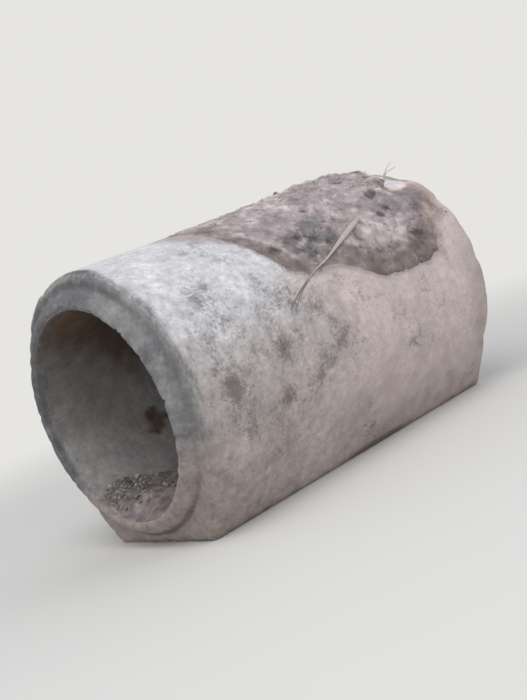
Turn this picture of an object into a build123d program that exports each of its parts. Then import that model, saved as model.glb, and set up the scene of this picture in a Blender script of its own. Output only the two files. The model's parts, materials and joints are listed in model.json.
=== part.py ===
from build123d import *
from math import acos, atan2, cos, sin
import os

# Concrete sewer pipe with a flat foot and a tongue-and-groove joint, cast as one piece.
# It lies along X on its foot. The tongue points to -X and the groove opens to +X.
# The origin is on the floor, under the middle of the overall length. Sizes are in millimetres.

# Barrel
bore_diameter = 500
wall = 75
overall_length = 1000  # groove face to tongue tip
shoulder_edge_radius = 7  # outline of the face that the tongue stands on
groove_face_edge_radius = 5  # outline of the face that the groove is sunk in
bore_edge_chamfer = 3

# Foot
foot_width = 375  # between the corners, before they are rounded
foot_bite = 10  # how much of the round bottom the flat takes off
foot_corner_radius = 16

# Tongue
tongue_length = 32
tongue_root_wall = 39
tongue_tip_wall = 20
tongue_nose_radius = 8
tongue_root_radius = 4

# Groove, which takes the tongue of the next pipe
joint_clearance = 4  # round the tongue, for the mortar or the sealing band
joint_end_gap = 3  # past the tongue's tip, so that the outer faces meet first
groove_mouth_chamfer = 3
groove_floor_radius = 4

# Places that follow from the sizes
bore_radius = bore_diameter / 2
outer_radius = bore_radius + wall
axis_height = outer_radius - foot_bite
tip_x = -overall_length / 2
shoulder_x = tip_x + tongue_length
groove_face_x = overall_length / 2
groove_floor_x = groove_face_x - tongue_length - joint_end_gap
tongue_root = bore_radius + tongue_root_wall
tongue_tip = bore_radius + tongue_tip_wall
groove_mouth = tongue_root + joint_clearance
groove_floor = tongue_tip + joint_clearance

near = 0.01  # how close an edge or face must lie to the place it is picked by


def section_plane(x):
    """Plane across the pipe at x, with its origin on the pipe's axis, Y to the right and Z up."""
    return Plane(origin=(x, 0, axis_height), x_dir=(0, 1, 0), z_dir=(1, 0, 0))


def barrel_outline():
    """Round barrel whose flanks leave the circle as tangents and run straight to the foot's corners."""
    corner = Vector(foot_width / 2, -axis_height)
    touch_angle = atan2(corner.Y, corner.X) + acos(outer_radius / corner.length)
    touch = Vector(outer_radius * cos(touch_angle), outer_radius * sin(touch_angle))
    far_touch = Vector(-touch.X, touch.Y)
    far_corner = Vector(-corner.X, corner.Y)
    crown = ThreePointArc(touch, (0, outer_radius), far_touch)
    foot = Polyline(far_touch, far_corner, corner, touch)
    face = make_face([crown, *foot.edges()])
    return fillet(face.vertices().group_by(Axis.Y)[0], foot_corner_radius)


def taper(start_x, start_radius, end_x, end_radius):
    """Solid cone frustum about the pipe's axis, between two planes across it."""
    start = section_plane(start_x) * Circle(start_radius)
    end = section_plane(end_x) * Circle(end_radius)
    return loft([start, end])


def rim(solid, x, radius):
    """Round edges about the pipe's axis at x, of the given radius."""
    rounds = solid.edges().filter_by(GeomType.CIRCLE).filter_by_position(Axis.X, x - near, x + near)
    return rounds.filter_by(lambda edge: abs(edge.radius - radius) < near)


def outer_edges(solid, x):
    """Edges that bound the flat face at x on its outside: the crown, the flanks and the foot."""
    faces = solid.faces().filter_by(Axis.X).filter_by_position(Axis.X, x - near, x + near)
    return faces.sort_by(SortBy.AREA)[-1].outer_wire().edges()


def concrete_pipe():
    """Barrel on its foot, with the tapered tongue added, the bore and groove cut and the edges rounded."""
    barrel = extrude(section_plane(shoulder_x) * barrel_outline(), amount=groove_face_x - shoulder_x)
    tongue = taper(tip_x, tongue_tip, shoulder_x, tongue_root)
    bore = extrude(section_plane(tip_x) * Circle(bore_radius), amount=overall_length)
    groove = taper(groove_floor_x, groove_floor, groove_face_x, groove_mouth)
    pipe = barrel + tongue - bore - groove
    pipe = fillet(outer_edges(pipe, shoulder_x), shoulder_edge_radius)
    pipe = fillet(outer_edges(pipe, groove_face_x), groove_face_edge_radius)
    pipe = fillet(rim(pipe, shoulder_x, tongue_root), tongue_root_radius)
    pipe = fillet(rim(pipe, tip_x, tongue_tip), tongue_nose_radius)
    pipe = fillet(rim(pipe, groove_floor_x, groove_floor), groove_floor_radius)
    pipe = chamfer(rim(pipe, tip_x, bore_radius), bore_edge_chamfer)
    pipe = chamfer(rim(pipe, groove_floor_x, bore_radius), bore_edge_chamfer)
    return chamfer(rim(pipe, groove_face_x, groove_mouth), groove_mouth_chamfer)


os.makedirs("parts", exist_ok=True)
export_step(concrete_pipe(), "parts/concrete_pipe.step")
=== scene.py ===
import itertools
import json
import bpy
import numpy as np
from mathutils import Matrix, Vector


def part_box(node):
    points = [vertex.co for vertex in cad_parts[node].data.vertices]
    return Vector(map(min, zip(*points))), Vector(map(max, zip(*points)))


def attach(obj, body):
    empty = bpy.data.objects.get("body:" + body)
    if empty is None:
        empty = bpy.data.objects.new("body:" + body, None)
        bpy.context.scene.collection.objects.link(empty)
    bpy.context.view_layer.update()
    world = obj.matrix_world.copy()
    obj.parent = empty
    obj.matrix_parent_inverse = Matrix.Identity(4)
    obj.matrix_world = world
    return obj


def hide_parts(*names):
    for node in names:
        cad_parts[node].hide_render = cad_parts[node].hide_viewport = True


# Weathered concrete sewer pipe on its foot, with dried soil and straw on its crown and grit in its mouth.
# Lengths are in metres, angles in radians unless they are named degrees. An angle round the pipe is 0 at the
# crown and grows towards -Y, so the far side has the negative ones.
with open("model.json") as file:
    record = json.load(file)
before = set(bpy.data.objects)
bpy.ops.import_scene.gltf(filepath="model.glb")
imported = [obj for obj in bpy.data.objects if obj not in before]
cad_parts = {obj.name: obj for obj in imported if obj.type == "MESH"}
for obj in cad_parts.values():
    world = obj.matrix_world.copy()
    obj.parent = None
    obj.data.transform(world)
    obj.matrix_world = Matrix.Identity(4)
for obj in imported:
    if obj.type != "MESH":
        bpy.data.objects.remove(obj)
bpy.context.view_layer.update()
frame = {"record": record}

MM = 0.001
DEGREE = np.pi / 180

# Sizes of the pipe, from the frame where it states them
low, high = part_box("concrete_pipe")
mounts = {mount["name"]: mount for mount in frame["record"]["mounts"]}
BORE = mounts["bore"]["dims"]["r_mm"] * MM
AXIS_Z = mounts["bore"]["pos_m"][2]
OUTER = (high.y - low.y) / 2
TIP_X = low.x
SHOULDER_X = mounts["shoulder_face"]["pos_m"][0]
GROOVE_X = high.x
GROOVE_FLOOR_X = GROOVE_X - 35 * MM
TONGUE_ROOT = BORE + 39 * MM
TONGUE_TIP = BORE + 20 * MM
GROOVE_MOUTH = BORE + 43 * MM
GROOVE_FLOOR = BORE + 24 * MM
FOOT_WIDTH = 375 * MM
FOOT_ROUNDING = 10 * MM  # span over which the flank and the foot run into each other
FOOT_ANGLE = np.pi - np.arctan2(FOOT_WIDTH / 2, AXIS_Z)  # of the foot's corner

CRUST_STEP = 3.8 * MM  # between the points of the soil's crusts, along the pipe

BACKDROP = "#E6E5E2"

# Turns the lattice of the noises, so that none of its planes runs along the pipe
LATTICE_TURN = np.array(Matrix.Rotation(50 * DEGREE, 3, Vector((1, 2, 3)).normalized()))


def eased(value, start, end):
    """0 before start and 1 after end, with the cubic 3t^2 - 2t^3 between them."""
    t = np.clip((value - start) / (end - start), 0, 1)
    return t * t * (3 - 2 * t)


def noise(points, size, seed):
    """Smooth noise from about -1 to 1. Each corner of a turned cubic lattice of this size has a random slope,
    which gives a plane through nothing there. A point takes the planes of the eight corners round it, mixed
    by its place between them, eased by 6t^5 - 15t^4 + 10t^3."""
    side = 32  # corners, after which the lattice repeats
    slopes = np.random.default_rng(seed).normal(size=(side, side, side, 3))
    slopes /= np.linalg.norm(slopes, axis=-1, keepdims=True)
    places = points @ LATTICE_TURN / size
    cell = np.floor(places).astype(int)
    share = places - cell
    mixed = share**3 * (share * (6 * share - 15) + 10)
    total = np.zeros(points.shape[:-1])
    for corner in itertools.product((0, 1), repeat=3):
        weight = np.prod(np.where(corner, mixed, 1 - mixed), axis=-1)
        i, j, k = np.moveaxis((cell + corner) % side, -1, 0)
        total += weight * (slopes[i, j, k] * (share - corner)).sum(-1)
    return 1.6 * total  # brings it to about -1 to 1


def rough(points, size, seed, layers=4):
    """Sum of noises from -1 to 1, each half the size and half the height of the one before."""
    total = sum(noise(points, size / 2**i, seed + i) / 2**i for i in range(layers))
    return total / (2 - 2 / 2**layers)


def around(x, degrees, radius):
    """Points at x along the pipe, at this angle round its axis and this distance from it."""
    x, angle, radius = np.broadcast_arrays(x, degrees * DEGREE, radius)
    return np.stack([x, -radius * np.sin(angle), AXIS_Z + radius * np.cos(angle)], -1)


def spots(x, degrees, places):
    """Bell curves on the outside, each about one place: x, degrees and its reach in mm."""
    total = 0
    for spot_x, spot_degrees, reach in places:
        across = (degrees - spot_degrees) * DEGREE * OUTER
        total = total + np.exp(-((x - spot_x) ** 2 + across**2) / (reach * MM) ** 2)
    return np.minimum(total, 1)


def outline(angle):
    """Distance from the axis to the outside. It is the smaller of two: the round barrel, which goes on as a
    straight flank from the angle where a line to the foot's corner touches it, and the flat foot. Near the
    corner the two run into each other on a parabola."""
    touch = FOOT_ANGLE - np.arccos(OUTER / np.hypot(FOOT_WIDTH / 2, AXIS_Z))
    turn = np.abs(angle)
    flank = OUTER / np.cos(np.maximum(turn - touch, 0))
    foot = AXIS_Z / np.maximum(-np.cos(turn), 0.1)  # 0.1 keeps it far out on the upper half
    overlap = np.maximum(FOOT_ROUNDING - np.abs(flank - foot), 0)
    return np.minimum(flank, foot) - overlap**2 / (4 * FOOT_ROUNDING)


def quads(numbers):
    """Four-sided faces between neighbouring rows and columns of grids of point numbers."""
    corners = numbers[..., :-1, :-1], numbers[..., 1:, :-1], numbers[..., 1:, 1:], numbers[..., :-1, 1:]
    return np.stack(corners, -1).reshape(-1, 4)


def piece(name, points, faces, material, smooth=True, **fields):
    """Mesh at the origin from points (n, 3) and faces (m, k), with one number a point for each named field.
    Faces that wind inwards are turned: the volumes of the pyramids from the origin to them add up to less
    than nothing."""
    points = points.reshape(-1, 3)
    corners = points[faces]
    if (corners[:, 0] * np.cross(corners[:, 1], corners[:, 2])).sum() < 0:
        faces = faces[:, ::-1]
    mesh = bpy.data.meshes.new(name)
    mesh.from_pydata(points, [], faces)
    for field, values in fields.items():
        attribute = mesh.attributes.new(field, "FLOAT", "POINT")
        attribute.data.foreach_set("value", np.ravel(values).astype(np.float32))
    if smooth:
        mesh.shade_smooth()
    mesh.materials.append(material)
    made = bpy.data.objects.new(name, mesh)
    bpy.context.scene.collection.objects.link(made)
    return made


def linear(code):
    """Linear RGBA of an sRGB hex colour."""
    srgb = np.array([int(code[i : i + 2], 16) for i in (1, 3, 5)]) / 255
    channels = np.where(srgb <= 0.04045, srgb / 12.92, ((srgb + 0.055) / 1.055) ** 2.4)
    return (*channels.tolist(), 1.0)


def add(tree, kind, feeds, output=0, **settings):
    """Adds a node with its settings and returns one of its outputs. Kind is its type without the leading
    ShaderNode, and feeds gives each input socket a value or another node's output."""
    node = tree.nodes.new("ShaderNode" + kind)
    for name, value in settings.items():
        setattr(node, name, value)
    for socket, feed in feeds.items():
        if isinstance(feed, bpy.types.NodeSocket):
            tree.links.new(feed, node.inputs[socket])
        else:
            node.inputs[socket].default_value = feed
    return node.outputs[output]


def new_material(name, roughness):
    """Material of a dull mineral or plant surface, with its node tree, shader and Object coordinates."""
    material = bpy.data.materials.new(name)
    material.use_nodes = True
    tree = material.node_tree
    shader = tree.nodes["Principled BSDF"]
    shader.inputs["Roughness"].default_value = roughness
    place = add(tree, "TexCoord", {}, "Object")
    return material, tree, shader, place


def filmed(tree, colour, place, grain, films):
    """Lays thin films over a colour, one after the other. A film has a field that says where it lies, its
    tint, how strongly a noise with grains of this size in mm breaks it up, and how much it covers where it is
    thickest. Its cover follows field x (1 + broken x (noise - 1/2)), eased from 0.1 to 0.9."""
    feeds = {"Vector": place, "Scale": 1 / (grain * MM), "Detail": 8, "Roughness": 0.66}
    grains = add(tree, "TexNoise", feeds)
    for field, tint, broken, cover in films:
        amount = add(tree, "Attribute", {}, "Fac", attribute_name=field)
        feeds = {0: grains, 1: broken, 2: 1 - broken / 2}
        share = add(tree, "Math", feeds, operation="MULTIPLY_ADD")
        share = add(tree, "Math", {0: share, 1: amount}, operation="MULTIPLY")
        limits = {"Value": share, "From Min": 0.1, "From Max": 0.9, "To Max": cover}
        mask = add(tree, "MapRange", limits, interpolation_type="SMOOTHSTEP")
        colour = add(tree, "Mix", {0: mask, 6: colour, 7: linear(tint)}, 2, data_type="RGBA")
    return colour


def scaled(tree, colour, value, start, end, least, greatest):
    """Multiplies a colour by a share that runs from least to greatest as a value runs from start to end."""
    limits = {"Value": value, "From Min": start, "From Max": end, "To Min": least, "To Max": greatest}
    share = add(tree, "MapRange", limits)
    return add(tree, "VectorMath", {0: colour, "Scale": share}, operation="SCALE")


def clouded(tree, colour, place, layers):
    """Darkens and lightens a colour by noises, each with its size in mm, its least and its greatest share."""
    for size, least, greatest in layers:
        cloud = add(tree, "TexNoise", {"Vector": place, "Scale": 1 / (size * MM), "Detail": 4})
        colour = scaled(tree, colour, cloud, 0.3, 0.7, least, greatest)
    return colour


def smudged(tree, colour, place, crowd, size, peak, tint, cover):
    """Lays ragged smudges of a tint over a colour, where a noise of this size in mm, with the crowd added to
    it, rises over its peak. They are full 0.14 above it."""
    feeds = {"Vector": place, "Scale": 1 / (size * MM), "Detail": 6, "Roughness": 0.7}
    ragged = add(tree, "TexNoise", feeds)
    height = add(tree, "Math", {0: ragged, 1: crowd}, operation="ADD")
    limits = {"Value": height, "From Min": peak, "From Max": peak + 0.14, "To Max": cover}
    mask = add(tree, "MapRange", limits, interpolation_type="SMOOTHSTEP")
    return add(tree, "Mix", {0: mask, 6: colour, 7: linear(tint)}, 2, data_type="RGBA")


def air_holes(tree, place, crowd, spacing, widest):
    """Mask of small round holes, at most one to each cell of this spacing in mm. A hole's width is a random
    number of its cell, squared, x the crowd x the widest in mm."""
    cells = add(tree, "TexVoronoi", {"Vector": place, "Scale": 1 / (spacing * MM)}).node
    chance = add(tree, "SeparateColor", {0: cells.outputs["Color"]})
    chance = add(tree, "Math", {0: chance, 1: 2.0}, operation="POWER")
    reach = add(tree, "Math", {0: crowd, 1: widest / spacing / 2}, operation="MULTIPLY")
    reach = add(tree, "Math", {0: reach, 1: chance}, operation="MULTIPLY")
    depth = add(tree, "Math", {0: reach, 1: cells.outputs["Distance"]}, operation="SUBTRACT")
    return add(tree, "MapRange", {"Value": depth, "From Min": 0.0, "From Max": 0.08})


def weathered_concrete():
    """Cast concrete left outdoors: a pale cement skin with small air holes and sand grains, cool and bleached
    where rain runs off it, warm where soil dust has dried on it, dark where it stays damp. Painted shade
    darkens the mouth's faces, the crevice under the tongue, the foot's long edge, the bore and the air holes."""
    material, tree, shader, place = new_material("weathered_cast_concrete", 0.93)
    films = (
        ("dusty", "#CBBCB9", 1.0, 1.0),
        ("bleached", "#D7D6DA", 1.3, 1.0),
        ("earthy", "#A3968F", 2.5, 0.9),
        # damp, and painted shade on the mouth's faces
        ("damp_and_shade", "#747376", 2.5, 1.0),
        # painted shade in the bore
        ("bore_shade", "#858380", 1.0, 1.0),
        # rust, and painted shade deep in the bore
        ("rust_and_shade", "#5A4232", 1.5, 0.92),
        ("ochre", "#755840", 2.5, 0.6),
        ("worn", "#CFCDCC", 3.0, 0.6),
        # silt, and painted shade in the crevices, low on the mouth and along the foot
        ("silt_and_shade", "#6B5D56", 1.5, 0.85),
        ("veiled", "#A99D9D", 3.0, 0.85),
        ("tanned", "#A08B7F", 6.0, 0.5),
        ("broken", "#A29D99", 2.0, 0.6),
        ("bare", "#E2D9DC", 3.0, 0.95),
    )
    colour = filmed(tree, linear("#ABA8A6"), place, 34, films)
    # clouds in the cement paste, mottles, then sand grains
    layers = ((130, 0.94, 1.05), (45, 0.92, 1.08), (17, 0.90, 1.10), (6, 0.92, 1.07))
    colour = clouded(tree, colour, place, layers)
    # patchier where the aggregate is bare, then on the mouth's half of the near side and in the bore
    coarse = add(tree, "Attribute", {}, "Fac", attribute_name="coarse")
    mottled = add(tree, "Attribute", {}, "Fac", attribute_name="mottled")
    for amount, layers in (
        (coarse, ((26, 0.87, 1.12), (10, 0.85, 1.13))),
        (mottled, ((32, 0.85, 1.12), (14, 0.85, 1.12))),
    ):
        patchy = clouded(tree, colour, place, layers)
        colour = add(tree, "Mix", {0: amount, 6: colour, 7: patchy}, 2, data_type="RGBA")
    # tone step at the joint of the casting mould, halfway along
    along = add(tree, "SeparateXYZ", {0: place})
    seam = add(tree, "Attribute", {}, "Fac", attribute_name="seam")
    stepped = scaled(tree, colour, along, -2 * MM, 2 * MM, 0.92, 1.05)
    colour = add(tree, "Mix", {0: seam, 6: colour, 7: stepped}, 2, data_type="RGBA")
    # dirt in clusters and in the blotches
    cluster = add(tree, "TexNoise", {"Vector": place, "Scale": 1 / (80 * MM), "Detail": 3})
    crowd = add(tree, "Math", {0: cluster, 1: 0.55}, operation="MULTIPLY")
    holes = add(tree, "Math", {0: cluster, 1: 1.6, 2: -0.9}, operation="MULTIPLY_ADD")
    for field, share, more in (("pitted", 0.12, 0.8), ("blotched", 0.13, 0.6)):
        amount = add(tree, "Attribute", {}, "Fac", attribute_name=field)
        crowd = add(tree, "Math", {0: amount, 1: share, 2: crowd}, operation="MULTIPLY_ADD")
        holes = add(tree, "Math", {0: amount, 1: more, 2: holes}, operation="MULTIPLY_ADD")
    for size, peak, cover in ((26, 0.92, 0.32), (14, 0.92, 0.36), (8, 0.89, 0.44)):
        colour = smudged(tree, colour, place, crowd, size, peak, "#5E5A59", cover)
    # sand grains and air holes in relief
    grain = add(tree, "TexNoise", {"Vector": place, "Scale": 1 / (4 * MM), "Detail": 3})
    relief = add(tree, "Math", {0: coarse, 1: 1.6 * MM, 2: 0.9 * MM}, operation="MULTIPLY_ADD")
    depth = add(tree, "Math", {0: grain, 1: relief}, operation="MULTIPLY")
    for spacing, widest in ((11, 5.5), (6, 3.2)):
        hole = air_holes(tree, place, holes, spacing, widest)
        # painted shade inside each hole
        colour = scaled(tree, colour, hole, 0.0, 1.0, 1.0, 0.6)
        depth = add(tree, "Math", {0: hole, 1: -1.0 * MM, 2: depth}, operation="MULTIPLY_ADD")
    bump = add(tree, "Bump", {"Height": depth, "Distance": 1.0, "Strength": 0.8})
    tree.links.new(colour, shader.inputs["Base Color"])
    tree.links.new(bump, shader.inputs["Normal"])
    return material


def dried_soil():
    """Dried clayey soil: a pinkish grey crust of crumbled clods, brown along its lower border, pale with dust
    on their tops, with painted shade in the hollows and creases between them, ash grey or green-grey with
    moss in places."""
    material, tree, shader, place = new_material("dried_soil", 0.97)
    films = (
        ("tops", "#D0C3C4", 3.0, 0.8),
        ("browned", "#897B77", 3.0, 0.9),
        ("gritty", "#8B8480", 4.0, 0.9),
        ("tanned", "#B09A8D", 4.0, 0.7),
        ("ashy", "#98929A", 4.0, 0.6),
        ("mossy", "#6F706E", 7.0, 0.75),
        # painted shade in the marked hollows
        ("hollow", "#5A5051", 3.5, 0.85),
    )
    colour = filmed(tree, linear("#B8AAAC"), place, 30, films)
    colour = clouded(tree, colour, place, ((110, 0.88, 1.08), (55, 0.78, 1.16), (22, 0.80, 1.18)))
    # clods: cells bent out of shape, each with its own tone and painted shade in the creases round it
    bend = add(tree, "TexNoise", {"Vector": place, "Scale": 1 / (22 * MM), "Detail": 3}, "Color")
    feeds = {0: bend, 1: (18 * MM, 18 * MM, 18 * MM), 2: place}
    bent = add(tree, "VectorMath", feeds, operation="MULTIPLY_ADD")
    crumbs = add(tree, "TexNoise", {"Vector": place, "Scale": 1 / (7 * MM), "Detail": 4})
    depth = add(tree, "Math", {0: crumbs, 1: 3 * MM}, operation="MULTIPLY")
    for size, height, crease_shade in ((26, 6, 0.80), (11, 1.5, 0.95)):
        cells = add(tree, "TexVoronoi", {"Vector": bent, "Scale": 1 / (size * MM)}).node
        tone = add(tree, "SeparateColor", {0: cells.outputs["Color"]})
        colour = scaled(tree, colour, tone, 0.0, 1.0, 0.92, 1.08)
        colour = scaled(tree, colour, cells.outputs["Distance"], 0.25, 0.75, 1.05, crease_shade)
        feeds = {0: cells.outputs["Distance"], 1: -height * MM, 2: depth}
        depth = add(tree, "Math", feeds, operation="MULTIPLY_ADD")
    bump = add(tree, "Bump", {"Height": depth, "Distance": 1.0, "Strength": 0.6})
    tree.links.new(colour, shader.inputs["Base Color"])
    tree.links.new(bump, shader.inputs["Normal"])
    return material


def toned(name, roughness, dark, pale, layers):
    """Material whose grains or stalks each have their own tone between a dark and a pale colour."""
    material, tree, shader, place = new_material(name, roughness)
    tone = add(tree, "Attribute", {}, "Fac", attribute_name="tone")
    colour = add(tree, "Mix", {0: tone, 6: linear(dark), 7: linear(pale)}, 2, data_type="RGBA")
    tree.links.new(clouded(tree, colour, place, layers), shader.inputs["Base Color"])
    return material


def seen_rays(tree):
    """1 for rays that show the backdrop itself: from the camera, off gloss or through glass."""
    path = add(tree, "LightPath", {}).node
    seen = path.outputs["Is Camera Ray"]
    for other in ("Is Glossy Ray", "Is Transmission Ray"):
        seen = add(tree, "Math", {0: seen, 1: path.outputs[other]}, operation="MAXIMUM")
    return seen


def pale_floor():
    """Matt studio floor. Far from the pipe the camera sees the even backdrop colour on it."""
    material, tree, shader, place = new_material("matt_pale_floor", 1.0)
    shader.inputs["Base Color"].default_value = linear(BACKDROP)
    shader.inputs["Specular IOR Level"].default_value = 0.0
    away = add(tree, "VectorMath", {0: place}, "Value", operation="LENGTH")
    limits = {"Value": away, "From Min": 0.9, "From Max": 2.6}
    share = add(tree, "MapRange", limits, interpolation_type="SMOOTHSTEP")
    share = add(tree, "Math", {0: share, 1: seen_rays(tree)}, operation="MULTIPLY")
    even = add(tree, "Emission", {"Color": linear(BACKDROP)})
    mixed = add(tree, "MixShader", {0: share, 1: shader.outputs[0], 2: even})
    tree.links.new(mixed, tree.nodes["Material Output"].inputs["Surface"])
    return material


# Corners of the wall in the plane of the axis: place along the pipe, distance from the axis on the round
# part, share of the foot's departure from the round, rounding, and how many steps the arc and the straight
# run after it take
WALL_CORNERS = (
    (SHOULDER_X, OUTER, 1, 5 * MM, 8, 10),
    (SHOULDER_X, TONGUE_ROOT, 0, 12 * MM, 6, 8),
    (TIP_X, TONGUE_TIP, 0, 13 * MM, 8, 2),
    (TIP_X, BORE, 0, 6 * MM, 6, 58),
    (GROOVE_FLOOR_X, BORE, 0, 3 * MM, 3, 3),
    (GROOVE_FLOOR_X, GROOVE_FLOOR, 0, 4 * MM, 3, 6),
    (GROOVE_X, GROOVE_MOUTH, 0, 3 * MM, 3, 6),
    (GROOVE_X, OUTER, 1, 5 * MM, 6, 122),
)


def wall_loop():
    """Closed loop round the wall's section. Each corner becomes an arc that touches its two sides: its centre
    lies on their bisector, and its points turn from one side's touching point to the other's. The steps of a
    run crowd towards its ends: t - 0.65 sin(2 pi t) / (2 pi). Returns place along the pipe, distance from the
    axis and share of the foot's departure, each one number a step."""
    corner = np.array([c[:2] for c in WALL_CORNERS])
    shares = [c[2] for c in WALL_CORNERS]
    rounding = np.array([c[3] for c in WALL_CORNERS])[:, None]
    back = np.roll(corner, 1, 0) - corner
    ahead = np.roll(corner, -1, 0) - corner
    back /= np.linalg.norm(back, axis=1, keepdims=True)
    ahead /= np.linalg.norm(ahead, axis=1, keepdims=True)
    half = np.arccos((back * ahead).sum(1, keepdims=True)) / 2
    bisector = (back + ahead) / np.linalg.norm(back + ahead, axis=1, keepdims=True)
    centre = corner + bisector * rounding / np.sin(half)
    arrive = corner + back * rounding / np.tan(half)
    leave = corner + ahead * rounding / np.tan(half)
    turn = np.pi - 2 * half
    steps = []
    for i, (*_, bends, runs) in enumerate(WALL_CORNERS):
        after = (i + 1) % len(WALL_CORNERS)
        t = np.linspace(0, 1, bends)[:, None]
        start = np.sin((1 - t) * turn[i]) * (arrive[i] - centre[i])
        end = np.sin(t * turn[i]) * (leave[i] - centre[i])
        steps.append(np.c_[centre[i] + (start + end) / np.sin(turn[i]), np.full(bends, shares[i])])
        t = np.linspace(0, 1, runs + 2)[1:-1, None]
        t = t - 0.65 * np.sin(2 * np.pi * t) / (2 * np.pi)
        run = leave[i] + t * (arrive[after] - leave[i])
        steps.append(np.c_[run, shares[i] + t * (shares[after] - shares[i])])
    return np.concatenate(steps).T


def pipe_angles(count):
    """Angles round the pipe, spaced evenly along the outside but closer at the foot's two corners."""
    fine = np.linspace(-np.pi, np.pi, 4001)
    density = outline(fine) * (1 + np.exp(-(((np.abs(fine) - FOOT_ANGLE) / (5 * DEGREE)) ** 2)))
    length = np.concatenate([[0], np.cumsum((density[1:] + density[:-1]) / 2)])
    return np.interp(np.arange(count) / count * length[-1], length, fine)


def rounded(x, radius, edge, inward, rounding):
    """Rounds an edge off to an arc. A point that lies outside the arc is drawn in towards the arc's centre
    until it is on it. Inward says on which side of the edge the concrete lies, along the pipe and across."""
    along = rounding - (x - edge[0]) * inward[0]
    across = rounding - (radius - edge[1]) * inward[1]
    reach = np.hypot(along, across)
    pull = np.where((along > 0) & (across > 0), np.maximum(1 - rounding / reach, 0), 0)
    return x + pull * along * inward[0], radius + pull * across * inward[1]


def bitten(x, radius, edge, towards, bite):
    """Cuts an edge back to a slanting face: what lies beyond it, measured along the outward diagonal, is
    moved onto it. The bite is the depth of the face below the sharp edge. Returns the moved places and how
    far each point was moved."""
    direction = np.array(towards) / np.hypot(*towards)
    beyond = (x - edge[0]) * direction[0] + (radius - edge[1]) * direction[1] + bite
    beyond = np.maximum(beyond, 0)
    return x - beyond * direction[0], radius - beyond * direction[1], beyond


# Edges that wear and break: place and distance from the axis, outward diagonal, wear in mm, depth of the
# chips in mm, their length in mm and a seed
WORN_EDGES = (
    ((SHOULDER_X, OUTER), (-1, 1), 2.2, 9, 75, 41),
    ((TIP_X, TONGUE_TIP), (-1, 0.7), 4.5, 5, 30, 42),
    ((TIP_X, BORE), (-1, -1), 3.6, 7, 15, 43),
    ((GROOVE_X, OUTER), (1, 1), 2.4, 9, 80, 44),
    ((GROOVE_X, GROOVE_MOUTH), (1, -1), 1.5, 5, 55, 45),
)
# Rounding of the shoulder's outer edge by wear: degrees and mm
SHOULDER_WEAR = (
    (-180, 9), (-150, 14), (-90, 7), (-30, 10), (0, 11), (30, 9), (50, 6), (98, 5), (112, 20), (150, 28),
    (180, 9)
)


def concrete_pipe():
    """The whole pipe as one closed surface of two parameters, the angle round the axis and the step along the
    wall's loop: radius = loop radius + share x (outline - barrel radius). Wear rounds its edges and chips cut
    them back, and noises raise and lower it along its normal."""
    loop_x, loop_radius, share = wall_loop()
    count = 384  # angles round the pipe
    angle = pipe_angles(count)[:, None]
    degrees = angle / DEGREE
    loop_x, loop_radius, degrees = np.broadcast_arrays(loop_x, loop_radius, degrees)
    rim = around(0, angle / DEGREE, OUTER)
    smooth = around(loop_x, degrees, loop_radius)
    grain = 1.4 * MM * rough(smooth, 14 * MM, 40)
    # a shallow spall at the groove end, beside the crown
    spall = eased(loop_x + 12 * MM * noise(smooth, 50 * MM, 37), 0.415, 0.5) * eased(loop_radius, BORE, OUTER)
    spall = 16 * MM * spall * eased(degrees, 5, 14) * (1 - eased(degrees, 30, 44))
    loop_radius = loop_radius - spall
    worn = MM * np.interp(degrees, *np.array(SHOULDER_WEAR).T) + 3 * MM * noise(rim, 80 * MM, 38)
    x, radius = rounded(loop_x, loop_radius, (SHOULDER_X, OUTER), (1, -1), np.maximum(worn + grain, 5 * MM))
    big_chip = 12 * MM * eased(degrees, -27, -22) * (1 - eased(degrees, 3, 9))
    big_chip = big_chip + 7 * MM * np.exp(-(((degrees - 14) / 2.2) ** 2))
    ragged_foot = 4.5 * MM * eased(np.abs(degrees), 150, 156) * (1 + 1.3 * noise(rim, 22 * MM, 39))
    broken = eased(spall, 3 * MM, 9 * MM)
    for edge, towards, wear, chip, length, seed in WORN_EDGES:
        knocks = eased(noise(rim, length * MM, seed), 0.1, 0.7) * (0.7 + 0.5 * noise(rim, 22 * MM, seed + 20))
        bite = MM * (wear + 1.1 * noise(rim, 26 * MM, seed + 10) + chip * knocks) + grain
        if edge[1] == OUTER:
            bite = bite + ragged_foot
        if edge[0] == SHOULDER_X:
            bite = bite + big_chip
        x, radius, moved = bitten(x, radius, edge, towards, bite)
        broken = np.maximum(broken, eased(moved, 3 * MM, 9 * MM))
    points = around(x, degrees, radius + share * (outline(angle) - OUTER))
    along = np.roll(points, -1, 1) - np.roll(points, 1, 1)
    across = np.roll(points, -1, 0) - np.roll(points, 1, 0)
    normal = np.cross(across, along)
    normal /= np.linalg.norm(normal, axis=-1, keepdims=True)
    fields = pipe_films(smooth, loop_x, loop_radius, degrees)
    coarse = np.maximum(fields["coarse"], broken)
    height = MM * (1.1 * noise(points, 200 * MM, 50) + (0.6 + 1.1 * coarse) * rough(points, 34 * MM, 51))
    height = np.where(points[..., 2] < 4 * MM, -np.abs(height), height)
    points = points + normal * height[..., None]
    points[..., 2] = np.maximum(points[..., 2], 0)
    numbers = np.arange(x.size).reshape(x.shape)
    faces = quads(np.pad(numbers, (0, 1), mode="wrap"))
    fields |= {"coarse": coarse, "broken": broken}
    made = piece("weathered_pipe", points, faces, weathered_concrete(), **fields)
    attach(made, "root")
    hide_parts("concrete_pipe")


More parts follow.
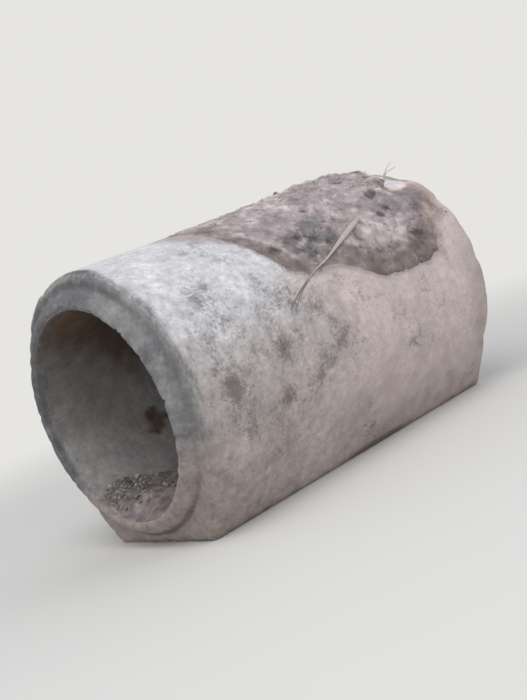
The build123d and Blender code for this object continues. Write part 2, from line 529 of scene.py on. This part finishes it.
# Dark blotches on the near side of the barrel: place along the pipe, degrees and reach in mm
BLOTCHES = (
    (-0.300, 53, 20), (-0.165, 54, 19), (-0.265, 32, 14), (-0.345, 56, 13), (-0.285, 83, 24),
    (-0.205, 86, 20), (-0.375, 90, 22), (-0.405, 84, 13), (-0.385, 99, 24), (-0.440, 93, 16),
    (-0.420, 117, 18), (-0.300, 101, 12), (-0.240, 105, 16), (-0.085, 77, 20), (-0.045, 86, 11),
    (0.03, 86, 11), (-0.045, 110, 14), (0.19, 109, 17)
)
# Bare bright patch near the groove
BARE = (
    (0.400, 39, 24), (0.428, 38, 28), (0.455, 34, 26), (0.450, 25, 26), (0.445, 17, 24), (0.442, 9, 24),
    (0.438, 1, 22)
)
# Brightest rust at the top of the bore, and a brown stain on its far side
OCHRE = ((-0.40, -32, 46), (-0.45, -22, 34))
STAIN = ((-0.225, -107, 34), (-0.235, -117, 28), (-0.20, -112, 32))
# Damp and painted shade on the tongue's outside: degrees and share
TONGUE_DAMP_AND_SHADE = (
    (-180, 0.56), (-115, 0.96), (10, 0.96), (30, 0.5), (60, 0.68), (90, 0.58), (120, 0.74), (180, 0.56)
)


def pipe_films(points, x, radius, degrees):
    """Where each film lies on the concrete, from 0 to 1, as eased steps of the place along the pipe, round it
    and through the wall. Wander shifts the borders by smooth noise."""
    turn = np.abs(degrees)
    wander = rough(points, 200 * MM, 60, 3)
    outside = eased(radius, OUTER - 10 * MM, OUTER - 1 * MM)
    end_face = eased(x, 0.4, 0.41) * eased(radius, GROOVE_MOUTH + 8 * MM, GROOVE_MOUTH + 14 * MM)
    outside = np.maximum(outside, end_face)
    inside = (1 - eased(radius, BORE + 0.5 * MM, BORE + 5 * MM)) * eased(x, TIP_X + 1 * MM, TIP_X + 8 * MM)
    at_mouth = 1 - eased(x, SHOULDER_X - 1 * MM, SHOULDER_X + 4 * MM)
    past_root = eased(radius, TONGUE_ROOT - 2 * MM, TONGUE_ROOT + 3 * MM)
    shoulder = at_mouth * past_root
    tongue = at_mouth * (1 - inside) * (1 - past_root)
    recess = (1 - eased(radius, GROOVE_MOUTH - 1 * MM, GROOVE_MOUTH + 3 * MM)) * (1 - inside)
    recess = recess * eased(x, GROOVE_X - 37 * MM, GROOVE_X - 30 * MM)
    low_down = eased(turn + 10 * wander, 95, 135)
    near_edge = outside * (1 - eased(x + 0.02 * wander, SHOULDER_X + 3 * MM, SHOULDER_X + 32 * MM))
    fields = {"seam": outside * eased(turn, 68, 76) * (1 - eased(turn, 98, 108)) * np.exp(-((x / 0.1) ** 2))}
    fields["mottled"] = outside * (1 - eased(x, -0.2, 0.2)) * eased(degrees, 10, 35) + 0.8 * inside
    fields["coarse"] = np.maximum(at_mouth, 0.7 * near_edge) + 0.35 * inside
    fields["bare"] = outside * eased(spots(x, degrees, BARE) + 0.3 * noise(points, 40 * MM, 62), 0.3, 0.85)
    bleached = (1 - eased(x + 0.10 * wander, -0.30, 0.25)) * (1 - eased(turn + 20 * wander, 35, 110))
    fields["bleached"] = outside * bleached
    fields["dusty"] = outside * (0.5 + 0.5 * eased(x + 0.12 * wander, -0.30, 0.20))
    strength = 0.68 + 0.12 * eased(x, -0.1, 0.15) - 0.22 * np.exp(-(((x + 0.14) / 0.12) ** 2))
    strength = strength + 0.22 * (1 - eased(x, -0.44, -0.32))
    earthy = outside * eased(turn + 25 * wander - 25 * x, 75, 150) * strength
    earthy = np.maximum(earthy, 0.6 * outside * eased(x, 0.36, 0.5) * eased(turn, 60, 85))
    off, half = bed_reach(x, degrees)
    past_bed = np.maximum(np.abs(off) - half, 0) * DEGREE * BORE
    in_bore = 0.68 * inside * np.exp(-past_bed / (18 * MM)) * (1 - eased(x, 0.1, 0.4))
    silty = eased(turn + 10 * wander, 85, 125)
    fields["earthy"] = np.maximum(np.maximum(earthy, 0.92 * silty * (shoulder + tongue)), in_bore)
    far_lip = eased(-degrees, 15, 50) * (1 - eased(-degrees, 115, 150))
    at_crown = 1 - eased(turn, 10, 40)
    # damp and painted shade darken the mouth's faces, most on the crown and the far side
    # the shoulder and the tongue share one mask, so the film has no gap where they meet
    damp_and_shade = shoulder * (1 - low_down) * (0.62 + 0.38 * (1 - eased(degrees, 15, 45)))
    tongue_damp_and_shade = np.interp(degrees, *np.array(TONGUE_DAMP_AND_SHADE).T)
    damp_and_shade = damp_and_shade + tongue * tongue_damp_and_shade * (1 - low_down * (1 - far_lip))
    damp_and_shade = damp_and_shade + 0.8 * inside * far_lip * (1 - eased(x, TIP_X + 8 * MM, TIP_X + 32 * MM))
    fields["damp_and_shade"] = np.maximum(damp_and_shade, near_edge * (0.5 + 0.45 * at_crown) * (1 - low_down))
    # painted shade in the bore, growing towards its top
    upper = eased(np.cos((degrees + 20) * DEGREE) + 0.2 * wander, -0.3, 1.0)
    fields["bore_shade"] = inside * (0.05 + 0.8 * upper)
    # dark brown at the top of the bore: rust, and painted shade that covers more of it deeper in
    top_down = np.cos((degrees + 16) * DEGREE) + 0.25 * wander
    from_top = np.clip(0.68 - 2.2 * (x + 0.45), 0.1, 0.68)
    rust_and_shade = 0.9 * eased(top_down, from_top - 0.1, from_top + 0.6)
    stain = 0.75 * eased(spots(x, degrees, STAIN) + 0.4 * noise(points, 22 * MM, 61), 0.3, 1.1)
    fields["rust_and_shade"] = inside * np.maximum(rust_and_shade, stain)
    fields["ochre"] = inside * spots(x, degrees, OCHRE)
    edge_line = (x - SHOULDER_X) + (OUTER - radius)
    worn = 0.5 * np.exp(-(((edge_line - 4 * MM) / (3.5 * MM)) ** 2)) * eased(degrees, 74, 86)
    worn = worn * (1 - eased(degrees, 98, 106))
    fields["worn"] = worn * (1 - eased(x, SHOULDER_X + 6 * MM, SHOULDER_X + 12 * MM))
    # silt and painted shade in the crevice under the tongue, in the groove's recess and low on the mouth
    root = np.exp(-(((radius - TONGUE_ROOT) / (7 * MM)) ** 2)) * at_mouth
    # a painted contact shadow along the foot's long edge
    long_edge = np.exp(-(((turn - 148.5) / 2) ** 2)) * outside
    silt_and_shade = np.maximum(root * (0.1 + 0.85 * eased(turn, 108, 150)), recess * 0.75)
    round_mouth = 0.38 * np.maximum(shoulder, near_edge) + 0.3 * tongue
    silt_and_shade = np.maximum(silt_and_shade, eased(turn, 112, 140) * round_mouth)
    dark_stretch = eased(x, -0.03, 0) * (1 - eased(x, 0.16, 0.19))
    fields["silt_and_shade"] = np.maximum(silt_and_shade, long_edge * (0.45 + 0.5 * dark_stretch))
    past_soil = np.maximum(-soil_depth(x, degrees), 0)
    tail = (1 - eased(x, -0.16, -0.08)) * (1 - eased(degrees, 22, 40))
    fields["veiled"] = outside * (1 - eased(past_soil, 0, MM * (16 + 110 * tail))) * (1 - fields["bare"])
    beside = eased(x, 0.35, 0.40) * eased(degrees, 36, 48) * (1 - eased(past_soil, 6 * MM, 42 * MM))
    fields["tanned"] = outside * beside
    pitted = (1 - eased(x, -0.2, 0.1)) * eased(degrees + 15 * wander, 25, 75) * (1 - eased(degrees, 102, 124))
    fields["pitted"] = outside * (0.25 + 0.75 * pitted)
    fields["blotched"] = outside * spots(x, degrees, BLOTCHES)
    return fields


def depth_within(x, y, corners):
    """Distance in from a closed outline with these corners, and less than nothing outside it. The nearest
    point of each side is found by projection. A point is inside where a line from it along x crosses an odd
    number of sides."""
    nearest = np.full(x.shape, np.inf)
    inside = np.zeros(x.shape, bool)
    for start, end in zip(corners, np.roll(corners, -1, 0)):
        side_x, side_y = end - start
        from_x, from_y = x - start[0], y - start[1]
        t = np.clip((from_x * side_x + from_y * side_y) / (side_x**2 + side_y**2), 0, 1)
        nearest = np.minimum(nearest, np.hypot(from_x - t * side_x, from_y - t * side_y))
        crosses = (start[1] > y) != (end[1] > y)
        inside ^= crosses & ((from_x * side_y < from_y * side_x) == (side_y > 0))
    return np.where(inside, nearest, -nearest)


# Outline of the soil on the crown: place along the pipe and degrees. The negative ones are on the far side.
SOIL_OUTLINE = (
    (-0.17, 6), (-0.158, 20), (-0.143, 33), (-0.112, 48), (-0.082, 59), (-0.035, 65), (0.05, 66.5),
    (0.10, 70), (0.13, 75), (0.16, 78), (0.25, 79), (0.33, 80), (0.37, 77), (0.39, 70), (0.415, 64),
    (0.455, 60), (0.475, 51), (0.465, 30), (0.472, 18), (0.485, 8), (0.499, 0), (0.499, -22),
    (0.40, -38), (0.20, -42), (0.02, -36), (-0.11, -22)
)
# Mean height of the soil in mm along the crown. Lower down it is about half as high.
SOIL_THICKNESS = ((-0.16, 1.5), (-0.02, 3), (0.06, 5), (0.15, 9), (0.3, 13), (0.42, 12), (0.5, 8))
# Marks in the soil: place along the pipe, degrees and reach in mm
MOSS = ((-0.01, 50, 36), (0.04, 49, 42), (0.07, 43, 30), (0.03, 57, 28), (-0.06, 49, 20), (0.09, 52, 24))
ASH = (
    (0.10, 41, 26), (0.10, 58, 20), (0.28, 45, 34), (0.34, 46, 36), (0.40, 50, 34), (0.36, 56, 26),
    (0.44, 48, 24)
)
# Hollows: dips in the crust that also carry painted shade
HOLLOWS = (
    (0.115, 33, 13), (0.31, 40, 15), (0.335, 39, 12), (0.285, 51.5, 15), (0.315, 50, 14), (0.32, 66, 14),
    (0.345, 67, 12), (0.165, 58.5, 13), (-0.075, 49, 17), (0.045, 50.5, 15), (0.31, 22, 15), (0.41, 23, 15),
    (-0.005, 53, 10), (0.02, 58, 9), (0.075, 55, 10), (0.01, 47, 9)
)
LUMPS = ((0.20, 56, 20), (0.24, 58, 20), (0.28, 59, 18), (0.37, 21, 20), (0.26, 26, 24), (0.33, 57, 14))


def soil_depth(x, degrees):
    """Distance in from the soil's ragged border, and less than nothing outside it: the distance in from its
    outline on the unrolled barrel + noises, less round the bare patch."""
    flat = around(x, degrees, OUTER)
    depth = depth_within(x, degrees * DEGREE * OUTER, np.array(SOIL_OUTLINE) * (1, DEGREE * OUTER))
    depth = depth + MM * (7 * noise(flat, 60 * MM, 71) + 4 * noise(flat, 20 * MM, 72))
    return depth - 70 * MM * spots(x, degrees, BARE)


def clods(x, degrees):
    """Height in mm of the soil's clods over its mean level: two sizes of rounded clods with creases between
    them, where a noise passes through nothing, smaller lumps, and the marked lumps and hollows."""
    flat = around(x, degrees, OUTER)
    large = 11 * np.abs(noise(flat, 62 * MM, 73))
    small = 8 * np.abs(noise(flat, 30 * MM, 74))
    marked = 5 * spots(x, degrees, LUMPS) - 6 * spots(x, degrees, HOLLOWS)
    return large + small + 3 * noise(flat, 14 * MM, 75) - 5.5 + marked


def soil_height(x, degrees):
    """Height of the soil over the concrete: from its border it rises quickly to its mean height, and carries
    clods. The thin soil has low ones, and near the groove it thins out on the near side."""
    depth = soil_depth(x, degrees)
    mean = np.interp(x, *np.array(SOIL_THICKNESS).T) * (1 - 0.5 * eased(degrees, 20, 50))
    mean = mean * (1 - 0.7 * eased(x, 0.33, 0.44) * eased(degrees, 0, 20))
    slope = 7 + 24 * eased(x, 0.34, 0.42) * eased(degrees, -25, 10)
    rise = 1 - np.exp(-np.maximum(depth, 0) / (slope * MM))
    thickness = mean * rise + eased(depth, 0, 22 * MM) * np.minimum(mean / 7, 1) * clods(x, degrees)
    return np.where(depth > 0, MM * np.maximum(thickness, 0.6), -MM)


def crust(name, x, degrees, base, side, height, material, **fields):
    """Closed crust on a round surface. Its top stands this height off the base radius, outwards if side is 1
    and inwards if it is -1, and its underside is sunk 3 mm into the concrete. Where the height isn't above
    nothing the two share their points, and faces that lie wholly there are left out, so the crust ends on a
    closed rim. It has no height at the border of its grid, where it is closed too."""
    height[[0, -1]] = height[:, [0, -1]] = -MM
    inside = height > 0
    sunk = MM * np.where(inside, 3, 0.7)
    top = around(x, degrees, base + side * np.where(inside, height, -sunk))
    under = around(x, degrees, base - side * sunk)
    numbers = np.arange(x.size).reshape(x.shape)
    beneath = np.where(inside, numbers + x.size, numbers)
    faces = np.concatenate([quads(numbers), quads(beneath)[:, ::-1]])
    kept = np.tile(inside.ravel(), 2)[faces].any(1)
    used, faces = np.unique(faces[kept], return_inverse=True)
    points = np.concatenate([top.reshape(-1, 3), under.reshape(-1, 3)])[used]
    fields = {field: np.tile(values.ravel(), 2)[used] for field, values in fields.items()}
    made = piece(name, points, faces.reshape(-1, 4), material, **fields)
    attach(made, "root")


def soil_browned(x, degrees):
    """How brown the soil is: fully along its lower border, in a band that widens towards the groove."""
    wide = MM * np.interp(x, (-0.15, -0.02, 0.05, 0.16), (28, 50, 54, 84))
    flat = around(x, degrees, OUTER)
    depth = soil_depth(x, degrees) + 14 * MM * noise(flat, 55 * MM, 76)
    return eased(degrees, 20, 40) * (1 - eased(depth, 0.5 * wide, 1.15 * wide))


def soil_on_crown(material):
    """Dried crust on the crown, on a grid that is nearly square on the unrolled barrel."""
    x, degrees = np.meshgrid(np.arange(-0.18, 0.499, CRUST_STEP), np.arange(-54, 90, 0.67), indexing="ij")
    height = soil_height(x, degrees)
    # beside the groove the crust pales towards its border, as the concrete there is dusted with it
    fading = eased(x, 0.35, 0.42) * eased(degrees, 30, 44)
    fading = fading * (1 - eased(soil_depth(x, degrees), 6 * MM, 60 * MM))
    browned = np.maximum(soil_browned(x, degrees), 0.5 * (1 - eased(x, -0.14, -0.06)))
    fields = {"browned": browned * (1 - 0.85 * fading), "tanned": fading}
    fields["tops"] = np.maximum(eased(clods(x, degrees), -3, 5), spots(x, degrees, LUMPS))
    fields["mossy"] = spots(x, degrees, MOSS)
    fields["ashy"] = spots(x, degrees, ASH)
    # painted shade in the marked hollows
    fields["hollow"] = spots(x, degrees, HOLLOWS)
    crust("soil_on_crown", x, degrees, OUTER, 1, height, material, **fields)


# The bed of soil in the bore: place along the pipe, and degrees of its borders on the near and the far side
BED_BORDERS = (
    (-0.5, 158, 219), (-0.46, 152, 224), (-0.41, 150, 225), (-0.35, 152, 219), (-0.3, 155, 215),
    (-0.2, 161, 209), (-0.05, 168, 202), (0.12, 180, 190)
)


def bed_reach(x, degrees):
    """Degrees from the middle of the bed in the bore, and half its width in degrees, with a ragged border."""
    along, near, far = np.array(BED_BORDERS).T
    near, far = np.interp(x, along, near), np.interp(x, along, far)
    points = around(x, degrees, BORE)
    half = (far - near) / 2 + 3 * noise(points, 50 * MM, 80) + 1.5 * noise(points, 18 * MM, 81)
    return np.clip(np.mod(degrees, 360) - (near + far) / 2, -75, 75), half


def bed_height(x, degrees):
    """Height of the soil over the bore. Over a full bed it would be the height of a chord, which is the
    bore's radius x (1 - cos(half width) / cos(angle from the middle)). The bed has a part of that, least over
    the lip, with lumps."""
    off, half = bed_reach(x, degrees)
    chord = BORE * (1 - np.cos(half * DEGREE) / np.cos(off * DEGREE))
    run = eased(x, TIP_X + 4 * MM, TIP_X + 80 * MM) * (1 - eased(x, -0.32, -0.05))
    points = around(x, degrees, BORE)
    lumps = MM * (4 * noise(points, 44 * MM, 82) + 2.5 * noise(points, 18 * MM, 83))
    lumps = lumps * (0.35 + 0.65 * eased(x, TIP_X + 10 * MM, TIP_X + 60 * MM))
    ends = MM * (3.5 * eased(x, 0, 0.12) + 4.5 * (1 - eased(x, TIP_X + 4 * MM, TIP_X + 34 * MM)))
    return chord * (0.16 + 0.4 * run) + lumps * eased(chord, -9 * MM, 12 * MM) - ends


def soil_in_bore(material):
    """Bed of soil along the bottom of the mouth, gritty on its far side, which runs out inside the pipe."""
    along = np.arange(TIP_X + 7 * MM, 0.13, CRUST_STEP)
    x, degrees = np.meshgrid(along, np.arange(138, 238, 0.9), indexing="ij")
    height = bed_height(x, degrees)
    inward = eased(x, -0.46, -0.36)
    gritty = eased(degrees, 198, 208) * eased(x, -0.498, -0.47) * (1 - 0.35 * inward)
    crust("soil_in_bore", x, degrees, BORE, -1, height, material, browned=0.64 - 0.14 * inward,
          tops=0.25 * (1 - inward), gritty=gritty)


def crumbs(name, places, sizes, tones, material):
    """Many small broken grains as one mesh. A grain has four rings of six points between two poles, each at a
    random distance from its centre; it is stretched and turned at random."""
    rng = np.random.default_rng(90)
    tilt = np.array([[40], [75], [105], [140]]) * DEGREE
    turn = (np.arange(6) + 0.5 * np.array([[0], [1], [0], [1]])) * np.pi / 3
    rings = np.stack([np.sin(tilt) * np.cos(turn), np.sin(tilt) * np.sin(turn), np.cos(tilt) + 0 * turn], -1)
    ball = np.concatenate([rings.reshape(-1, 3), [[0, 0, 1], [0, 0, -1]]])
    each, count = len(ball), len(places)
    ball = ball * rng.uniform(0.7, 1.15, (count, each, 1)) * rng.uniform(0.55, 1.2, (count, 1, 3))
    turned = np.linalg.qr(rng.normal(size=(count, 3, 3)))[0]
    turned *= np.sign(np.linalg.det(turned))[:, None, None]
    points = np.einsum("nij,nkj->nki", turned, ball) * sizes[:, None, None] + places[:, None, :]
    numbers = np.pad(np.arange(each - 2).reshape(4, 6), ((0, 0), (0, 1)), mode="wrap")
    sides = quads(numbers)
    top = np.stack([numbers[0, :-1], numbers[0, 1:], np.full(6, each - 2)], -1)
    bottom = np.stack([numbers[-1, 1:], numbers[-1, :-1], np.full(6, each - 1)], -1)
    faces = np.concatenate([sides[:, [0, 1, 2]], sides[:, [0, 2, 3]], top, bottom])
    faces = (faces[None] + each * np.arange(count)[:, None, None]).reshape(-1, 3)
    made = piece(name, points, faces, material, smooth=False, tone=np.repeat(tones, each))
    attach(made, "root")


# Two pale stones among the grit: place along the pipe and degrees
PALE_STONES = ((-0.372, 221), (-0.442, 224))


def grit_in_bore(material):
    """Coarse grains on the far side of the bed, partly sunk in it, in clumps, and two larger pale stones."""
    rng = np.random.default_rng(91)
    count = 2600
    x = rng.uniform(-0.485, -0.16, count)
    along, _, far = np.array(BED_BORDERS).T
    degrees = np.interp(x, along, far) + rng.normal(0, 2.2, count) - rng.triangular(0, 3, 27, count)
    size = MM * (1.2 + 5.2 * rng.power(0.3, count))
    kept = rng.random(count) < eased(noise(around(x, degrees, BORE), 26 * MM, 95), -0.4, 0.6)
    tones = np.clip(rng.normal(0.5, 0.25, count) + 0.2 * eased(x, -0.42, -0.34), 0, 1)
    x, degrees, size, tones = (values[kept] for values in (x, degrees, size, tones))
    stone_x, stone_degrees = np.array(PALE_STONES).T
    x, degrees = np.append(x, stone_x), np.append(degrees, stone_degrees)
    size, tones = np.append(size, (8 * MM, 7 * MM)), np.append(tones, (1.3, 1.1))
    radius = BORE - np.maximum(bed_height(x, degrees), 0) - 0.3 * size
    crumbs("grit_in_bore", around(x, degrees, radius), size, tones, material)


def crumbs_on_crown(material):
    """Small clods and stones on the soil, half sunk in it, as brown or pale as the soil round them. Some lie
    beyond its border beside the groove, and those on the far side are the small ones."""
    rng = np.random.default_rng(92)
    count = 3600
    x = rng.uniform(-0.15, 0.495, count)
    degrees = rng.uniform(-36, 80, count)
    height = soil_height(x, degrees)
    size = MM * (1.2 + 5.5 * rng.power(0.24, count))
    tones = 0.74 + rng.normal(0, 0.12, count) - 0.42 * soil_browned(x, degrees)
    # darker in the moss, and painted shade on those in the hollows
    tones = tones - 0.35 * np.maximum(spots(x, degrees, MOSS), spots(x, degrees, HOLLOWS))
    crowd = eased(noise(around(x, degrees, OUTER), 45 * MM, 96), -0.7, 0.6)
    strewn = (x > 0.36) & (degrees > 46) & (height < 0) & (size < 4 * MM)
    strewn = strewn & (soil_depth(x, degrees) > -40 * MM)
    kept = ((height > 1.5 * MM) | strewn) & (rng.random(count) < crowd)
    kept = kept & ((degrees > 6) | (size < 4 * MM))
    sunk = np.where(strewn, 0.45, 0.15) * size
    places = around(x, degrees, OUTER + np.maximum(height, 0) - sunk)[kept]
    crumbs("crumbs_on_crown", places, size[kept], np.clip(tones, 0, 1)[kept], material)


def smooth_path(corners, count):
    """Curve through the corners: between two of them it is the cubic whose slope at each is half the step
    from the corner before it to the corner after it."""
    corners = np.array(corners, float)
    padded = np.concatenate([2 * corners[:1] - corners[1:2], corners, 2 * corners[-1:] - corners[-2:-1]])
    t = np.linspace(0, len(corners) - 1, count)
    i = np.minimum(t.astype(int), len(corners) - 2)
    f = (t - i)[:, None]
    before, start, end, after = (padded[i + k] for k in range(4))
    square = before - 2.5 * start + 2 * end - 0.5 * after
    cube = 1.5 * (start - end) + 0.5 * (after - before)
    return start + f * (end - before) / 2 + f**2 * square + f**3 * cube


def stalks(name, paths, widths, tones, material):
    """Flat stalks or leaves as one mesh: a six-sided section, a quarter as thick as wide, carried along each
    path. It lies flat on the pipe and is closed at both ends."""
    ahead = np.gradient(paths, axis=1)
    ahead /= np.linalg.norm(ahead, axis=-1, keepdims=True)
    across = np.cross(ahead, (paths - (0, 0, AXIS_Z)) * (0, 1, 1))
    across /= np.linalg.norm(across, axis=-1, keepdims=True)
    up = np.cross(across, ahead)
    turn = np.arange(6)[:, None] * np.pi / 3
    ring = np.cos(turn) * across[:, :, None] / 2 + np.sin(turn) * up[:, :, None] / 7
    points = paths[:, :, None] + widths[..., None, None] * ring
    numbers = np.arange(points.size // 3).reshape(points.shape[:3])
    first, last = numbers[:, 0], numbers[:, -1]
    ends = first[:, [0, 1, 2, 3]], first[:, [0, 3, 4, 5]], last[:, [3, 2, 1, 0]], last[:, [5, 4, 3, 0]]
    sides = quads(np.pad(numbers, ((0, 0), (0, 0), (0, 1)), mode="wrap"))
    made = piece(name, points, np.concatenate([sides, *ends]), material, tone=np.repeat(tones, 6))
    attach(made, "root")


def straw_on_crown(material):
    """Long dry leaf that lies over the soil's edge and down the barrel, forked at its thin end, and two
    blades that stand near the groove."""
    count = 48  # points along each
    runs = (
        ((0.205, 50.5), (0.135, 55), (0.09, 58), (0.03, 62), (-0.03, 65), (-0.095, 70), (-0.149, 75)),
        ((-0.03, 65), (-0.06, 67.6), (-0.104, 71.8), (-0.138, 76.5)),
    )
    paths, widths, tones = [], [], []
    for run, narrowing in zip(runs, (1, 0.6)):
        x, degrees = smooth_path(run, count).T
        height = np.maximum(soil_height(x, degrees), 0)
        height = np.convolve(np.pad(height, 6, mode="edge"), np.ones(13) / 13, "valid")
        paths.append(around(x, degrees, OUTER + height + 2 * MM + 4 * MM * eased(x, -0.02, 0.06)))
        wide = np.interp(x, (-0.15, -0.1, -0.03, 0.05, 0.13, 0.195, 0.21), (1.2, 2.4, 3, 6, 15, 14, 4))
        widths.append(MM * narrowing * wide)
        tones.append(0.05 + 0.7 * eased(x, -0.08, -0.03))
    blades = (
        ((0.452, 29, -14), (0.454, 29, 14), (0.458, 31, 40)),
        ((0.446, 30, -14), (0.45, 30, 10), (0.472, 32, 26)),
    )
    for blade in blades:
        x, degrees, height = smooth_path(blade, count).T
        paths.append(around(x, degrees, OUTER + height * MM))
        widths.append(MM * (7 - 3 * np.linspace(0, 1, count)))
        tones.append(np.ones(count))
    stalks("straw_on_crown", np.array(paths), np.array(widths), np.ravel(tones), material)


def straw_bits(name, x, degrees, surface, seed, material):
    """Short bent straws that lie on a surface of the pipe: each runs both ways from its middle in a random
    direction, and its ends lift a little."""
    rng = np.random.default_rng(seed)
    count = len(x)
    t = np.linspace(-0.5, 0.5, 6)
    length = MM * rng.uniform(12, 36, (count, 1))
    heading = rng.uniform(0, 2 * np.pi, (count, 1)) + rng.uniform(-0.5, 0.5, (count, 1)) * t
    x = x[:, None] + length * t * np.cos(heading)
    degrees = degrees[:, None] + length * t * np.sin(heading) / (0.3 * DEGREE)
    lift = MM * (1 + rng.uniform(0, 8, (count, 1)) * t**2)
    widths = MM * rng.uniform(1.0, 2.2, (count, 1)) * (1 - 1.2 * t**2)
    tones = np.repeat(rng.uniform(0.05, 0.7, count), 6)
    stalks(name, around(x, degrees, surface(x, degrees, lift)), widths, tones, material)


def studio():
    """Pale floor, soft light from above on the mouth's side, a weaker one from the near side, an even pale
    surround, and the camera."""
    x, y = np.meshgrid((-30.0, 0.0, 30.0), (-30.0, 0.0, 30.0), indexing="ij")
    numbers = np.arange(9).reshape(3, 3)
    floor = piece("floor", np.stack([x, y, 0 * x], -1), quads(numbers), pale_floor())

    world = bpy.data.worlds.new("soft_surround")
    bpy.context.scene.world = world
    world.use_nodes = True
    tree = world.node_tree
    surround = tree.nodes["Background"]
    surround.inputs["Color"].default_value = linear("#EFF1F5")
    surround.inputs["Strength"].default_value = 0.64
    seen = add(tree, "Background", {"Color": linear(BACKDROP), "Strength": 1.0})
    mixed = add(tree, "MixShader", {0: seen_rays(tree), 1: surround.outputs[0], 2: seen})
    tree.links.new(mixed, tree.nodes["World Output"].inputs["Surface"])

    lamps = ("key", (-1.4, -1.2, 3.4), 2.6, 52), ("side", (1.5, -3.0, 1.6), 2.0, 14)
    for name, place, size, power in lamps:
        lamp = bpy.data.lights.new(name, "AREA")
        lamp.size = size
        lamp.energy = power
        holder = bpy.data.objects.new(name, lamp)
        holder.location = place
        holder.rotation_euler = (Vector((0, 0, 0.3)) - Vector(place)).to_track_quat("-Z", "Y").to_euler()
        bpy.context.scene.collection.objects.link(holder)

    # The place and the tilt come from the fit of the pipe's outlines in the photograph.
    place = Vector((-1.7267, -2.1131, 0.5994))
    aim = Vector((0.0, 0.0, 0.30))
    upright = Vector((0.4496, 0.0168, 0.8931))
    ahead = (aim - place).normalized()
    right = ahead.cross(upright).normalized()
    camera = bpy.data.objects.new("camera", bpy.data.cameras.new("camera"))
    camera.data.lens = 57
    camera.data.clip_end = 100
    turned = Matrix((right, right.cross(ahead), -ahead)).transposed()
    camera.matrix_world = Matrix.Translation(place) @ turned.to_4x4()
    bpy.context.scene.collection.objects.link(camera)
    bpy.context.scene.camera = camera
    bpy.context.scene.view_settings.view_transform = "Standard"


concrete_pipe()
soil = dried_soil()
soil_on_crown(soil)
soil_in_bore(soil)
# crushed stone and concrete: dull grains from basalt grey to lime
grit = toned("crushed_stone_grit", 0.9, "#57524F", "#BDB8B4", ((5, 0.85, 1.12),))
grit_in_bore(grit)
# clods of the same dried soil
crumbs_on_crown(toned("dried_soil_clods", 0.97, "#665B5A", "#C4B7B8", ((5, 0.85, 1.12),)))
# dry grass: pale straw, greyish brown where it is old and wet
straw = toned("dry_straw", 0.7, "#6C6260", "#D3C6C4", ((9, 0.85, 1.08),))
straw_on_crown(straw)
scatter = np.random.default_rng(93)
straw_bits("straw_on_soil", scatter.uniform(-0.1, 0.46, 44), scatter.uniform(-20, 72, 44),
           lambda x, degrees, lift: OUTER + np.maximum(soil_height(x, degrees), 0) + lift, 94, straw)
straw_bits("straw_in_bore", scatter.uniform(-0.485, -0.36, 18), scatter.uniform(185, 218, 18),
           lambda x, degrees, lift: BORE - np.maximum(bed_height(x, degrees), 0) - lift - 1 * MM, 95, straw)
studio()
